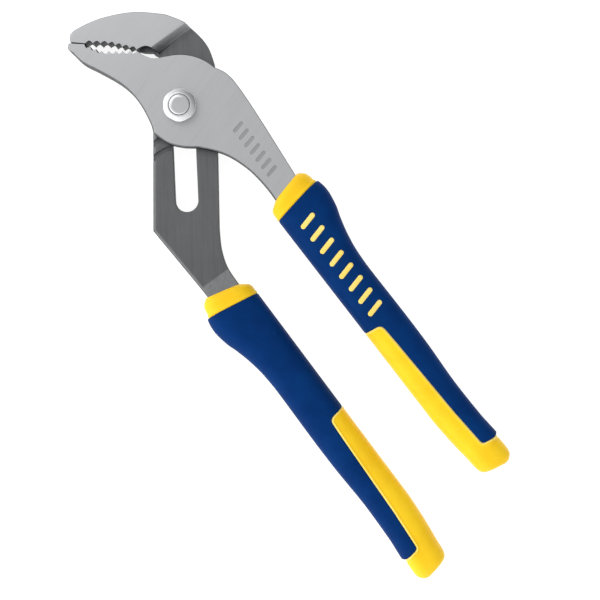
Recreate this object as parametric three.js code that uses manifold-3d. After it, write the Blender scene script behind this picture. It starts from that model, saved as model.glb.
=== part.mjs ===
// Tongue and groove pliers, nominal ten inch size. Millimetres, +Z up out of the nut.
// The origin is on the pivot axis, on the back face of the bolt head that the tool lies on.
// +Y runs up the adjusting slot towards the fixed jaw, and the jaws point along -X.

import * as THREE from 'three';
import { mergeVertices } from 'three/addons/utils/BufferGeometryUtils.js';
import Module from 'manifold-3d';

const wasm = await Module();
wasm.setup();

// ---------- driving dimensions ----------

const headThickness = 3.05;
const runningGap = 0.2;
const plateThickness = 5.15;
const rearBack = headThickness + runningGap;
const rearFront = rearBack + plateThickness;
const frontBack = rearFront + runningGap;
const frontFront = frontBack + plateThickness;

const tangThickness = 7.5;
const gripThickness = 17;
const tangBack = (gripThickness - tangThickness) / 2;
const tangFront = tangBack + tangThickness;

const boltRadius = 3.97;
const boltNeckWidth = 7.2;
const boltHeadRadius = 7.2;
const boltHoleRadius = 4.2;
const nutAcrossFlats = 12.7;
const nutBack = frontFront + runningGap;
const nutHeight = 5.6;
const boltEndHeight = 20.3;

const slotRadius = 4.5;
const slotCentreX = 0.6;
const slotTopY = 0.6;
const slotBottomY = -36.5;

const settingCount = 7;
const settingPitch = 5.4;
const tongueRadius = 17.45;
const tongueWidth = 1.5;
const tongueDepth = 1.4;
const tongueClearance = 0.3;
const humpRadius = 20.2;
const thickJawRadius = 19.3;
const thickJawSide = -13.5;

const toothDepth = 1.15;
const shoulderRun = 3.2;

const shellGap = 0.3;
const sleeveThickness = 11.4;

// Each handle's grip is drawn once: t runs down the handle and w runs outward from its inner edge.
const frontHandle = { x: 37.25, y: -47.7, degrees: -54.9, side: 1 };
const rearHandle = { x: 27.7, y: -75.3, degrees: -55.6, side: -1 };

// ---------- small helpers ----------

const radians = (degrees) => (degrees * Math.PI) / 180;
const point = (x, y) => new THREE.Vector2(x, y);

function onCircle(radius, degrees) {
  return point(radius * Math.cos(radians(degrees)), radius * Math.sin(radians(degrees)));
}

function handlePoint(handle, t, w) {
  const angle = radians(handle.degrees);
  const x = handle.x + t * Math.cos(angle) - w * handle.side * Math.sin(angle);
  const y = handle.y + t * Math.sin(angle) + w * handle.side * Math.cos(angle);
  return point(x, y);
}

const handlePoints = (handle, pairs) => pairs.map(([t, w]) => handlePoint(handle, t, w));

function toSolid(geometry) {
  const bare = geometry.clone();
  bare.deleteAttribute('normal');
  bare.deleteAttribute('uv');
  const merged = mergeVertices(bare, 1e-4);
  const vertProperties = new Float32Array(merged.attributes.position.array);
  const triVerts = new Uint32Array(merged.index.array);
  return new wasm.Manifold(new wasm.Mesh({ numProp: 3, vertProperties, triVerts }));
}

function toGeometry(solid) {
  const mesh = solid.getMesh();
  const geometry = new THREE.BufferGeometry();
  geometry.setAttribute('position', new THREE.BufferAttribute(new Float32Array(mesh.vertProperties), 3));
  geometry.setIndex(new THREE.BufferAttribute(new Uint32Array(mesh.triVerts), 1));
  geometry.computeVertexNormals();
  return geometry;
}

function slab(shape, low, high, curveSegments = 5) {
  const options = { depth: high - low, bevelEnabled: false, curveSegments };
  const geometry = new THREE.ExtrudeGeometry(shape, options);
  geometry.translate(0, 0, low);
  return toSolid(geometry);
}

// A slab cut to a side profile: profile pairs are (distance along the direction, height).
function profileBlock(profile, origin, degrees, halfWidth) {
  const shape = new THREE.Shape(profile.map(([along, height]) => point(along, height)));
  const geometry = new THREE.ExtrudeGeometry(shape, { depth: 2 * halfWidth, bevelEnabled: false });
  geometry.translate(0, 0, -halfWidth);
  geometry.rotateX(Math.PI / 2);
  geometry.rotateZ(radians(degrees));
  geometry.translate(origin.x, origin.y, 0);
  return toSolid(geometry);
}

function disc(radius, low, high, segments = 40) {
  const geometry = new THREE.CylinderGeometry(radius, radius, high - low, segments);
  geometry.rotateX(Math.PI / 2);
  geometry.translate(0, 0, (low + high) / 2);
  return toSolid(geometry);
}

function turned(profile, segments = 40) {
  const geometry = new THREE.LatheGeometry(profile.map(([r, z]) => point(r, z)), segments);
  geometry.rotateX(Math.PI / 2);
  return toSolid(geometry);
}

// Straight-sided teeth from the shape's current point to an end point.
function addTeeth(shape, from, to, count, depth) {
  const along = to.clone().sub(from);
  const inward = point(along.y, -along.x).normalize().multiplyScalar(depth);
  for (let tooth = 0; tooth < count; tooth += 1) {
    const valley = from.clone().addScaledVector(along, (tooth + 0.5) / count).add(inward);
    const tip = from.clone().addScaledVector(along, (tooth + 1) / count);
    shape.lineTo(valley.x, valley.y);
    shape.lineTo(tip.x, tip.y);
  }
}

// ---------- the two forged levers ----------

// The tapered steel tongue of a handle that the grip is moulded over.
const tangTip = [
  [20, 14], [60, 12.8], [108, 12.2], [112, 10.5], [112, 6.5], [108, 4.8], [60, 4.4], [20, 4],
];

// Side profiles, in distance down the handle and height, that set each handle in the middle of its grip.
const rearTangProfile = [
  [-17, rearBack], [-14, rearBack], [-8, tangBack], [120, tangBack],
  [120, tangFront], [-9, tangFront], [-16, rearFront], [-17, rearFront],
];
const frontTangProfile = [
  [-40, frontBack], [-22, frontBack], [-12, tangBack], [120, tangBack],
  [120, tangFront], [-8, tangFront], [-14, frontFront], [-40, frontFront],
];

// Fixed jaw, neck and the root of the handle.
function rearOutline() {
  const shape = new THREE.Shape();
  const firstTooth = point(-35.9, 26.2);
  const middleTooth = point(-27, 25.4);
  const lastTooth = point(-16.1, 22.6);
  shape.moveTo(-41.7, 26.9);
  shape.splineThru([
    point(-41.7, 29.6), point(-38.4, 32.2), point(-29.2, 35.7), point(-16.7, 37.5), point(-4.6, 36.2),
  ]);
  shape.splineThru([point(2.8, 32.9), point(8.2, 28.1), point(11.8, 23), point(13.8, 16.7)]);
  shape.lineTo(13.6, -18.7);
  shape.lineTo(12.9, -48.2);
  shape.splineThru([point(13.4, -56), point(15.4, -63.3), point(19.4, -70.2)]);
  shape.lineTo(7, -75.1);
  shape.lineTo(-13.2, -47.9);
  shape.lineTo(-10.6, 13);
  shape.splineThru([point(-8.6, 18), point(-7.6, 21), point(-9.5, 23)]);
  shape.splineThru([point(-12.2, 24.1), point(-14.6, 23.6), lastTooth]);
  addTeeth(shape, lastTooth, middleTooth, 4, toothDepth);
  addTeeth(shape, middleTooth, firstTooth, 3, toothDepth);
  return shape;
}

function slotOutline() {
  const shape = new THREE.Shape();
  shape.absarc(slotCentreX, slotTopY, slotRadius, 0, Math.PI, false);
  shape.absarc(slotCentreX, slotBottomY, slotRadius, Math.PI, 2 * Math.PI, false);
  return shape;
}

// An arc band about the pivot: the tongue, and with some clearance each groove it can sit in.
function arcBand(fromDegrees, toDegrees, clearance) {
  const shape = new THREE.Shape();
  const half = tongueWidth / 2 + clearance;
  shape.absarc(0, 0, tongueRadius + half, radians(fromDegrees), radians(toDegrees), false);
  shape.absarc(0, 0, tongueRadius - half, radians(toDegrees), radians(fromDegrees), true);
  return shape;
}

// Everything in front of the neck is cut away, up to the sloping shoulder under the fixed jaw.
function neckRelief() {
  const shoulder = point(-8.9, 24.3);
  const overrun = 130;
  const profile = [
    [0, frontFront], [0, frontFront + 2], [overrun, frontFront + 2],
    [overrun, rearFront], [shoulderRun, rearFront],
  ];
  return profileBlock(profile, shoulder, 34 - 90, overrun);
}

function rearLever() {
  const tangShape = new THREE.Shape();
  const rootOuter = handlePoint(rearHandle, -17, 16.6);
  const rootInner = handlePoint(rearHandle, -17, 3.4);
  tangShape.moveTo(rootInner.x, rootInner.y);
  const edge = [[-9, 3.8], ...[...tangTip].reverse(), [-12, 16.7]];
  handlePoints(rearHandle, edge).forEach((p) => tangShape.lineTo(p.x, p.y));
  tangShape.lineTo(rootOuter.x, rootOuter.y);
  const tang = slab(tangShape, rearBack, frontFront)
    .intersect(profileBlock(rearTangProfile, rearHandle, rearHandle.degrees, 60));
  let lever = slab(rearOutline(), rearBack, frontFront).subtract(neckRelief()).add(tang);
  lever = lever.subtract(slab(slotOutline(), rearBack - 1, rearFront + 1, 12));
  const grooveFloor = rearFront - tongueDepth - tongueClearance;
  const groove = slab(arcBand(99, 141, tongueClearance), grooveFloor, frontFront);
  for (let setting = 0; setting < settingCount; setting += 1) {
    lever = lever.subtract(groove.translate([0, -setting * settingPitch, 0]));
  }
  return lever;
}

// Moving jaw, round hub and shank, seen from the nut side.
function frontOutline() {
  const shape = new THREE.Shape();
  const firstTooth = point(-36.2, 25.8);
  const middleTooth = point(-29.6, 22.8);
  const lastTooth = point(-16, 22.3);
  const humpStart = onCircle(humpRadius, 104);
  shape.moveTo(-42.4, 26.4);
  shape.lineTo(firstTooth.x, firstTooth.y);
  addTeeth(shape, firstTooth, middleTooth, 3, toothDepth);
  addTeeth(shape, middleTooth, lastTooth, 5, toothDepth);
  shape.splineThru([point(-13.5, 20.5), point(-9.7, 19.1), humpStart]);
  shape.absarc(0, 0, humpRadius, radians(104), radians(46), true);
  shape.splineThru([
    point(18.7, 11.9), point(23.2, 6.4), point(31, -6.4), handlePoint(frontHandle, -12, 16.2),
  ]);
  handlePoints(frontHandle, [...tangTip, [-9, 4.1]]).forEach((p) => shape.lineTo(p.x, p.y));
  shape.splineThru([
    point(31.8, -32.7), point(26.2, -26.4), point(19.7, -21.3), point(13.8, -18.4), point(6.4, -16.4),
  ]);
  shape.splineThru([point(0.5, -16), point(-5.4, -14.2), point(-11, -10)]);
  shape.splineThru([
    point(-11.9, -6.2), point(-15.2, 0.8), point(-19.3, 6.4), point(-24.2, 10.7), point(-32.3, 15.7),
  ]);
  shape.splineThru([point(-37.5, 18.7), point(-41.6, 22.9), point(-42.9, 24.4), point(-42.4, 26.4)]);
  return shape;
}

// Where the moving jaw is twice as thick: outside a circle about the pivot, and left of the neck.
function thickJawRegion() {
  const shape = new THREE.Shape();
  const corner = Math.acos(thickJawSide / thickJawRadius);
  shape.moveTo(thickJawSide, 40);
  shape.lineTo(-60, 40);
  shape.lineTo(-60, -3);
  shape.lineTo(-thickJawRadius, -3);
  shape.absarc(0, 0, thickJawRadius, Math.PI, corner, true);
  return shape;
}

function frontLever() {
  const plan = frontOutline();
  const jaw = slab(plan, rearBack, frontFront).intersect(slab(thickJawRegion(), rearBack, frontFront, 12));
  const shank = slab(plan, rearBack, frontFront)
    .intersect(profileBlock(frontTangProfile, frontHandle, frontHandle.degrees, 90));
  const hubSide = -thickJawRadius - 1;
  const hubPlan = new THREE.Shape([
    point(hubSide, -30), point(24, -30), point(36, -10), point(24, 40), point(hubSide, 40),
  ]);
  const hub = slab(plan, frontBack, frontFront).intersect(slab(hubPlan, frontBack, frontFront));
  const tongue = slab(arcBand(104, 131, 0), frontBack - tongueDepth, frontBack + 1);
  const boltHole = disc(boltHoleRadius, frontBack - 1, frontFront + 1);
  return hub.add(shank).add(jaw).add(tongue).subtract(boltHole);
}

// ---------- the pivot ----------

function pivotBolt() {
  const head = turned([
    [0, 0], [boltHeadRadius - 0.9, 0], [boltHeadRadius, 0.9],
    [boltHeadRadius, headThickness], [0, headThickness],
  ]);
  const neckTop = rearFront + runningGap / 2;
  const neckPlan = new THREE.Shape();
  const side = boltNeckWidth / 2;
  const corner = Math.acos(side / boltRadius);
  neckPlan.absarc(0, 0, boltRadius, corner, Math.PI - corner, false);
  neckPlan.absarc(0, 0, boltRadius, Math.PI + corner, 2 * Math.PI - corner, false);
  const neck = slab(neckPlan, headThickness - 0.5, neckTop, 8);
  const shank = disc(boltRadius, neckTop - 0.05, boltEndHeight - 0.6);
  const stakedEnd = turned([
    [0, boltEndHeight - 0.7], [boltRadius, boltEndHeight - 0.7],
    [boltRadius - 0.6, boltEndHeight], [0, boltEndHeight],
  ]);
  return head.add(neck).add(shank).add(stakedEnd);
}

function pivotNut() {
  const top = nutBack + nutHeight;
  const cornerRadius = nutAcrossFlats / Math.sqrt(3);
  const hexagon = new THREE.CylinderGeometry(cornerRadius, cornerRadius, nutHeight, 6);
  hexagon.rotateX(Math.PI / 2);
  hexagon.translate(0, 0, nutBack + nutHeight / 2);
  const chamfer = turned([
    [0, nutBack], [cornerRadius, nutBack], [cornerRadius, top - 1.8],
    [nutAcrossFlats / 2 - 1, top], [0, top],
  ], 48);
  return toSolid(hexagon).intersect(chamfer).subtract(disc(boltRadius + runningGap, nutBack - 1, top + 1));
}

// ---------- the two-colour grips ----------

// The grip's cross-sections lean by gripLean, as the collar does. Each table is (leaning distance, value).
const gripLean = 0.24;
const gripInnerEdge = [
  [-7.7, 3.6], [-7.2, 2.6], [-6, 0.4], [-4.5, 0], [0, 0], [64, 0.1], [96, 0.1], [106, 0.6], [112, 1.1],
  [118, 1.8], [123.5, 2.3], [125.8, 3.2], [127.4, 5.3], [129.6, 10], [130.6, 12.2],
];
const gripOuterEdge = [
  [-7.7, 17.6], [-5.2, 19.9], [-3.1, 20.6], [-0.7, 20.9], [0.4, 22], [5.6, 22.8], [12, 21.9], [17, 20.2],
  [23.5, 18.5], [30, 17.5], [38, 17.1], [64, 17.3], [74, 17.2], [96, 16.4], [111, 16.7], [116, 17.1],
  [120.2, 17.4], [121, 16.1], [122.2, 16.65], [127, 16.9], [128.4, 16.8], [129.6, 16.3], [130.6, 15],
];
const gripHalfThickness = [
  [-7.7, 7], [-6.6, 8.1], [-4.5, 8.5], [23.5, 8.5], [64, 7.9], [96, 7.8],
  [117, 8.5], [124, 8.4], [128, 7.4], [129.8, 5.8], [130.6, 4.2],
];
const gripStations = [
  -7.7, -6, -4.5, -0.7, 0.4, 5.6, 12, 17, 23.5, 30, 38, 50, 64, 80, 96, 106, 112, 118, 120.2, 121, 122.2,
  125.8, 127.4, 128.6, 129.6, 130.6,
];
const gripSides = 20;
const gripSquareness = 0.7;

function readTable(table, at) {
  const next = Math.max(1, table.findIndex(([place]) => place >= at));
  const [x0, y0] = table[next - 1];
  const [x1, y1] = table[next];
  return THREE.MathUtils.mapLinear(at, x0, x1, y0, y1);
}

// A cylinder reshaped ring by ring into the swelling, rounded-square handle.
function gripVolume(handle) {
  const rings = gripStations.length - 1;
  const geometry = new THREE.CylinderGeometry(1, 1, 1, gripSides, rings);
  const position = geometry.attributes.position;
  const squared = (value) => Math.sign(value) * Math.abs(value) ** gripSquareness;
  for (let index = 0; index < position.count; index += 1) {
    const place = gripStations[Math.round((0.5 - position.getY(index)) * rings)];
    const inner = readTable(gripInnerEdge, place);
    const outer = readTable(gripOuterEdge, place);
    const w = (inner + outer) / 2 + ((outer - inner) / 2) * squared(position.getX(index));
    const z = gripThickness / 2 + readTable(gripHalfThickness, place) * squared(position.getZ(index));
    const { x, y } = handlePoint(handle, place - gripLean * w, w);
    position.setXYZ(index, x, y, z);
  }
  if (handle.side < 0) {
    geometry.index.array.reverse();
  }
  return toSolid(geometry);
}

function handleSlab(handle, pairs, low, high) {
  return slab(new THREE.Shape(handlePoints(handle, pairs)), low, high);
}

// The outer colour: everything below the collar, less the inner strip and the butt.
function coverRegion(handle, gap) {
  const g = gap;
  return handleSlab(handle, [
    [-0.2 + g, -8], [-7 + g, 32], [119.6 - g, 32], [115.2 - g, 11 + g], [113.6 - g, 9.8 + g], [99, 8.8 + g],
    [86, 8 + g], [64.5, 7.4 + g], [57 - g, 7.8 + g], [54.9 - g, 6.6], [53 - g, -8],
  ], -1, gripThickness + 1);
}

function sleeve(handle, gap) {
  const low = (gripThickness - sleeveThickness) / 2 - gap;
  const pairs = [[-4, 2.3 - gap], [-4, 17.8 + gap], [20, 15.6 + gap], [116, 14.4 + gap], [116, 2.3 - gap]];
  return handleSlab(handle, pairs, low, gripThickness - low);
}

function tangPocket(handle) {
  const pairs = [
    [-20, 2.9], [-8, 3.4], [20, 3.6], [60, 4], [109, 4.4], [112.5, 6.2], [112.5, 10.8], [109, 12.6],
    [60, 13.2], [20, 14.4], [-8, 16.9], [-20, 17.4],
  ];
  return handleSlab(handle, pairs, tangBack - shellGap, tangFront + shellGap);
}

// The hidden part of the pocket at the collar mouth follows the lever where it still changes level.
function collarMouth(handle) {
  const pairs = [[-20, 2.9], [-20, 17.4], [-7, 16.9], [-7, 3.4]];
  return handleSlab(handle, pairs, rearBack - shellGap, frontFront + shellGap);
}

function gripCore(handle) {
  return gripVolume(handle)
    .subtract(coverRegion(handle, 0))
    .add(sleeve(handle, 0).intersect(gripVolume(handle)))
    .subtract(tangPocket(handle))
    .subtract(collarMouth(handle));
}

function gripCover(handle) {
  return gripVolume(handle).intersect(coverRegion(handle, shellGap)).subtract(sleeve(handle, shellGap));
}

// ---------- the scene graph ----------

const steel = { color: 0xb8babd, roughness: 0.34, metalness: 0.95 };
const darkSteel = { color: 0x5c5e60, roughness: 0.42, metalness: 0.9 };
const brightSteel = { color: 0xd8dadc, roughness: 0.2, metalness: 1 };
const yellowRubber = { color: 0xfdcd1c, roughness: 0.55, metalness: 0 };
const blueRubber = { color: 0x063678, roughness: 0.6, metalness: 0 };

function piece(name, solid, look) {
  const mesh = new THREE.Mesh(toGeometry(solid), new THREE.MeshStandardMaterial(look));
  mesh.name = name;
  return mesh;
}

const pliers = new THREE.Group();
pliers.name = 'tongue_and_groove_pliers';
pliers.add(piece('rear_lever', rearLever(), darkSteel));
pliers.add(piece('rear_grip_core', gripCore(rearHandle), yellowRubber));
pliers.add(piece('rear_grip_cover', gripCover(rearHandle), blueRubber));
pliers.add(piece('pivot_bolt', pivotBolt(), brightSteel));
pliers.add(piece('pivot_nut', pivotNut(), brightSteel));
pliers.add(piece('front_lever', frontLever(), steel));
pliers.add(piece('front_grip_core', gripCore(frontHandle), yellowRubber));
pliers.add(piece('front_grip_cover', gripCover(frontHandle), blueRubber));

export default pliers;
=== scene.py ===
# Tongue and groove pliers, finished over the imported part.
# Shapes are drawn in millimetres in the part's own frame: +Z out of the nut, +Y up the slot, jaws along -X.
import math

import bpy
import numpy as np
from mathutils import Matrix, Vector, geometry


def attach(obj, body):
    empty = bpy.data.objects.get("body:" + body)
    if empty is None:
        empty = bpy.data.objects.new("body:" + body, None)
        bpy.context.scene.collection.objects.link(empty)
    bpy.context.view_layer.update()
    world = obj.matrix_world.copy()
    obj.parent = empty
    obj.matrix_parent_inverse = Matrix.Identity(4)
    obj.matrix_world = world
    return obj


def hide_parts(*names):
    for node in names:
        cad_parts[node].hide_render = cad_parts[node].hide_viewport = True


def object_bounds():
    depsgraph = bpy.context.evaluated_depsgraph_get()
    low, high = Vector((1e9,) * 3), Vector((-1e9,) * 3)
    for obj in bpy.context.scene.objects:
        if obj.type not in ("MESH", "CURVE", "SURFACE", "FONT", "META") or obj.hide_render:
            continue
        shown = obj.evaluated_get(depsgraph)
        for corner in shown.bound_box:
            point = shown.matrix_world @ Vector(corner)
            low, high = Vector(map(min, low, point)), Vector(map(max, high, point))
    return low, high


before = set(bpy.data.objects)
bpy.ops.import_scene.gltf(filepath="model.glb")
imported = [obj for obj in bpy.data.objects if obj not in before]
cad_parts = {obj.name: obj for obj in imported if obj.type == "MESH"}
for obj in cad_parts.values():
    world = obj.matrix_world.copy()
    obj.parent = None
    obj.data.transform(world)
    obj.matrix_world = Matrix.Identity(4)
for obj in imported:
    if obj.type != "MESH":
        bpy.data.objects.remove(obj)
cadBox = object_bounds()
mm = 0.001


# Camera: straight down on the lying tool, turned a little so that the slot leans to the left.
cameraSetup = {"height": 650, "nudge": (3.4, -2.02), "turn": -2.5, "lens": 97.9}


def makeCamera():
    lens = bpy.data.cameras.new("overhead")
    lens.lens = cameraSetup["lens"]
    camera = bpy.data.objects.new("overhead", lens)
    middle = (cadBox[0] + cadBox[1]) / 2
    camera.location = (
        middle.x + cameraSetup["nudge"][0] * mm,
        middle.y + cameraSetup["nudge"][1] * mm,
        cameraSetup["height"] * mm,
    )
    camera.rotation_euler = (0, 0, math.radians(cameraSetup["turn"]))
    bpy.context.scene.collection.objects.link(camera)
    bpy.context.scene.camera = camera


makeCamera()
print("camera ready")


def turned(angle, length=1.0):
    return Vector((math.cos(math.radians(angle)), math.sin(math.radians(angle)))) * length


class Outline:
    # A closed contour walked point by point. Each point keeps the width of the rounded rim beside it.
    def __init__(self, start, rim):
        self.points = [Vector(start)]
        self.rims = [rim]
        self.rim = rim

    def put(self, point):
        self.points.append(Vector(point))
        self.rims.append(self.rim)

    def lineTo(self, *ends, spacing=5.0):
        for end in ends:
            start = self.points[-1]
            stretch = Vector(end) - start
            steps = max(1, round(stretch.length / spacing))
            for step in range(1, steps + 1):
                self.put(start + stretch * step / steps)

    def curveThrough(self, *knots, spacing=0.8):
        path = [self.points[-1], *[Vector(knot) for knot in knots]]
        for index in range(len(path) - 1):
            before = path[max(index - 1, 0)]
            start = path[index]
            end = path[index + 1]
            after = path[min(index + 2, len(path) - 1)]
            steps = max(2, round((end - start).length / spacing))
            for step in range(1, steps + 1):
                self.put(smoothStep(before, start, end, after, step / steps))

    def arcTo(self, centre, radius, fromAngle, toAngle, spacing=0.8):
        steps = max(3, round(math.radians(abs(toAngle - fromAngle)) * radius / spacing))
        for step in range(1, steps + 1):
            angle = fromAngle + (toAngle - fromAngle) * step / steps
            self.put(Vector(centre) + turned(angle, radius))

    def teethTo(self, end, count, depth, samples=6):
        start = self.points[-1]
        along = Vector(end) - start
        inward = Vector((along.y, -along.x)).normalized()
        for step in range(1, count * samples + 1):
            phase = (step / samples) % 1
            bite = 1 - abs(2 * phase - 1) ** 1.5
            self.put(start + along * step / (count * samples) + inward * depth * bite)

    def closed(self):
        if (self.points[0] - self.points[-1]).length < 1e-4:
            self.points.pop()
            self.rims.pop()
        area = sum(a.cross(b) for a, b in zip(self.points, self.points[1:] + self.points[:1]))
        if area < 0:
            self.points.reverse()
            self.rims.reverse()
        return self


def smoothStep(before, start, end, after, share):
    # the usual uniform spline between start and end
    pull = (end - before) * 0.5
    push = (after - start) * 0.5
    cubic = 2 * start - 2 * end + pull + push
    square = 3 * end - 3 * start - 2 * pull - push
    return cubic * share ** 3 + square * share ** 2 + pull * share + start


def insideLoop(loop, points):
    # even-odd test of many points against one loop
    x, y = points[:, 0], points[:, 1]
    found = np.zeros(len(points), bool)
    for a, b in zip(loop, np.roll(loop, -1, axis=0)):
        crosses = (a[1] > y) != (b[1] > y)
        rise = b[1] - a[1] if abs(b[1] - a[1]) > 1e-12 else 1e-12
        found ^= crosses & (x < (b[0] - a[0]) * (y - a[1]) / rise + a[0])
    return found


def profileHeight(profile, along):
    return float(np.interp(along, [p[0] for p in profile], [p[1] for p in profile]))


# the two forged levers share these sizes
forging = {
    "rearBack": 3.25, "rearFront": 8.4, "frontBack": 8.6, "frontFront": 13.75,
    "tangBack": 4.75, "tangFront": 12.25, "humpRadius": 20.2, "toothDepth": 1.15,
    "tongueRadius": 17.45, "tongueWidth": 1.5, "tongueDepth": 1.4, "tongueClearance": 0.3,
    "frontHandle": {"x": 37.25, "y": -47.7, "angle": -54.9, "side": 1},
    "rearHandle": {"x": 27.7, "y": -75.3, "angle": -55.6, "side": -1},
    "tang": [(20, 14), (60, 12.8), (108, 12.2), (112, 10.5), (112, 6.5), (108, 4.8), (60, 4.4), (20, 4)],
    "rimSteps": 5, "faceRim": 0.35, "lowerRim": 0.85, "toothRim": 0.12, "creaseBand": 0.4,
    "grooveArc": (99, 141), "tongueArc": (104, 131),
    # rim of the shapes that only cut or join, too small to see
    "cutterRim": 0.001,
}

# how far a face's normal has to point up, and how far below the ground face it may lie, for each finish
finishLimits = {"flat": 0.94, "gentle": 0.75, "wall": 0.6, "upward": 0.2, "ground": 0.06, "stamped": 0.5}


def handleAxes(handle):
    along = turned(handle["angle"])
    return along, Vector((-along.y, along.x)) * handle["side"]


def onHandle(handle, down, out):
    # down runs along the handle from its collar, out runs away from the other handle
    along, across = handleAxes(handle)
    return Vector((handle["x"], handle["y"])) + along * down + across * out


def downHandle(handle, x, y):
    along = turned(handle["angle"])
    return (x - handle["x"]) * along.x + (y - handle["y"]) * along.y


def alongHandle(handle, profile):
    # a face height that follows a side profile down the handle
    return lambda x, y: profileHeight(profile, downHandle(handle, x, y))


def level(height):
    return lambda x, y: height


def breakLines(handle, profile):
    # lines across the handle where its side profile turns, with one on each side that holds the crease tight
    along = turned(handle["angle"])
    across = Vector((-along.y, along.x))
    band = forging["creaseBand"]
    return [(onHandle(handle, down + shift, 0), across) for down, _ in profile for shift in (-band, 0, band)]


def loopWithBreaks(outline, breaks):
    # adds a point wherever a break line crosses the loop, and notes which line it lies on
    points, rims, marks = [], [], []
    count = len(outline.points)
    onLine = 0.03
    for index in range(count):
        start = outline.points[index]
        end = outline.points[(index + 1) % count]
        mark = None
        cuts = []
        for number, (origin, direction) in enumerate(breaks):
            normal = Vector((-direction.y, direction.x))
            a = (start - origin).dot(normal)
            b = (end - origin).dot(normal)
            if abs(a) < onLine:
                mark = number
            elif abs(b) > onLine and a * b < 0:
                cuts.append((a / (a - b), number))
        points.append(start)
        rims.append(outline.rims[index])
        marks.append(mark)
        for share, number in sorted(cuts):
            points.append(start.lerp(end, share))
            rims.append(outline.rims[index])
            marks.append(number)
    return points, rims, marks


def rimDirections(points, inwardSign):
    # for each point, the way the rim leans in, a little longer at corners
    leans = []
    count = len(points)
    for index in range(count):
        before = (points[index] - points[index - 1]).normalized()
        after = (points[(index + 1) % count] - points[index]).normalized()
        normalSum = Vector((-before.y - after.y, before.x + after.x)) * inwardSign
        if normalSum.length < 0.7:
            normalSum = normalSum.normalized() * 0.7
        leans.append(normalSum * 2 / normalSum.length_squared)
    return leans


def smoothRims(rims, passes=3):
    values = np.array(rims, float)
    for _ in range(passes):
        eased = (np.roll(values, 1) + 2 * values + np.roll(values, -1)) / 4
        values = np.minimum(values, eased)
    return values


def plate(name, outer, holes, top, bottom, breaks=()):
    # a forged plate: rounded rims, straight walls, and faces whose height follows top(x, y) and bottom(x, y)
    steps = forging["rimSteps"]
    verts, faces = [], []
    fillPoints, fillEdges = [], []
    fillIds = {"top": [], "bottom": []}
    crossings = {}
    loopsInside = []
    for order, outline in enumerate([outer, *holes]):
        points, rims, marks = loopWithBreaks(outline.closed(), breaks)
        count = len(points)
        leans = rimDirections(points, 1 if order == 0 else -1)
        rims = smoothRims(rims)
        rings = []
        for side in ("bottom", "top"):
            height = top if side == "top" else bottom
            away = -1 if side == "top" else 1
            made = []
            for step in range(steps + 1):
                angle = math.pi / 2 * step / steps
                ring = []
                for index in range(count):
                    place = points[index] + leans[index] * rims[index] * (1 - math.cos(angle))
                    drop = rims[index] * (1 - math.sin(angle))
                    ring.append(len(verts))
                    verts.append((place.x, place.y, height(place.x, place.y) + away * drop))
                made.append(ring)
            rings.append(made)
        stack = rings[0][::-1] + rings[1]
        for low, high in zip(stack, stack[1:]):
            for index in range(count):
                following = (index + 1) % count
                quad = (low[index], low[following], high[following], high[index])
                faces.append(quad if order == 0 else quad[::-1])
        first = len(fillPoints)
        for index in range(count):
            fillPoints.append(Vector(verts[rings[1][-1][index]][:2]))
            fillIds["top"].append(rings[1][-1][index])
            fillIds["bottom"].append(rings[0][-1][index])
            fillEdges.append((first + index, first + (index + 1) % count))
            if marks[index] is not None:
                crossings.setdefault(marks[index], []).append(first + index)
        loopsInside.append(np.array([fillPoints[first + index] for index in range(count)]))
    for number, ids in crossings.items():
        direction = breaks[number][1]
        ids.sort(key=lambda one: fillPoints[one].dot(direction))
        fillEdges.extend(zip(ids[0::2], ids[1::2]))
    spots, _, triangles, origins, _, _ = geometry.delaunay_2d_cdt(fillPoints, fillEdges, [], 0, 1e-6)
    middles = np.array([tuple(spot) for spot in spots])[np.array(triangles)].mean(axis=1)
    keep = insideLoop(loopsInside[0], middles)
    for hole in loopsInside[1:]:
        keep &= ~insideLoop(hole, middles)
    for side, height in (("top", top), ("bottom", bottom)):
        ids = []
        for spot, origin in zip(spots, origins):
            if origin:
                ids.append(fillIds[side][origin[0]])
            else:
                ids.append(len(verts))
                verts.append((spot.x, spot.y, height(spot.x, spot.y)))
        for triangle, kept in zip(triangles, keep):
            if kept:
                corners = [ids[i] for i in triangle]
                faces.append(corners if side == "top" else corners[::-1])
    return meshObject(name, verts, faces)


def meshObject(name, verts, faces):
    mesh = bpy.data.meshes.new(name)
    mesh.from_pydata([Vector(v) * mm for v in verts], [], faces)
    mesh.update()
    made = bpy.data.objects.new(name, mesh)
    bpy.context.scene.collection.objects.link(made)
    return made


def applyModifiers(target):
    bpy.context.view_layer.update()
    graph = bpy.context.evaluated_depsgraph_get()
    old = target.data
    target.data = bpy.data.meshes.new_from_object(target.evaluated_get(graph))
    target.modifiers.clear()
    bpy.data.meshes.remove(old)


def booleanWith(target, tool, operation):
    step = target.modifiers.new("forge", "BOOLEAN")
    step.object = tool
    step.operation = operation
    step.solver = "EXACT"
    applyModifiers(target)
    bpy.data.objects.remove(tool)


def smoothShading(target, angle):
    mesh = target.data
    mesh.polygons.foreach_set("use_smooth", [True] * len(mesh.polygons))
    mesh.set_sharp_from_angle(angle=math.radians(angle))
    weighted = target.modifiers.new("even shading", "WEIGHTED_NORMAL")
    weighted.keep_sharp = True
    weighted.weight = 80


def finishPiece(piece, body, slotName, *nodes):
    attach(piece, body)
    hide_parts(*nodes)


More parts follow.
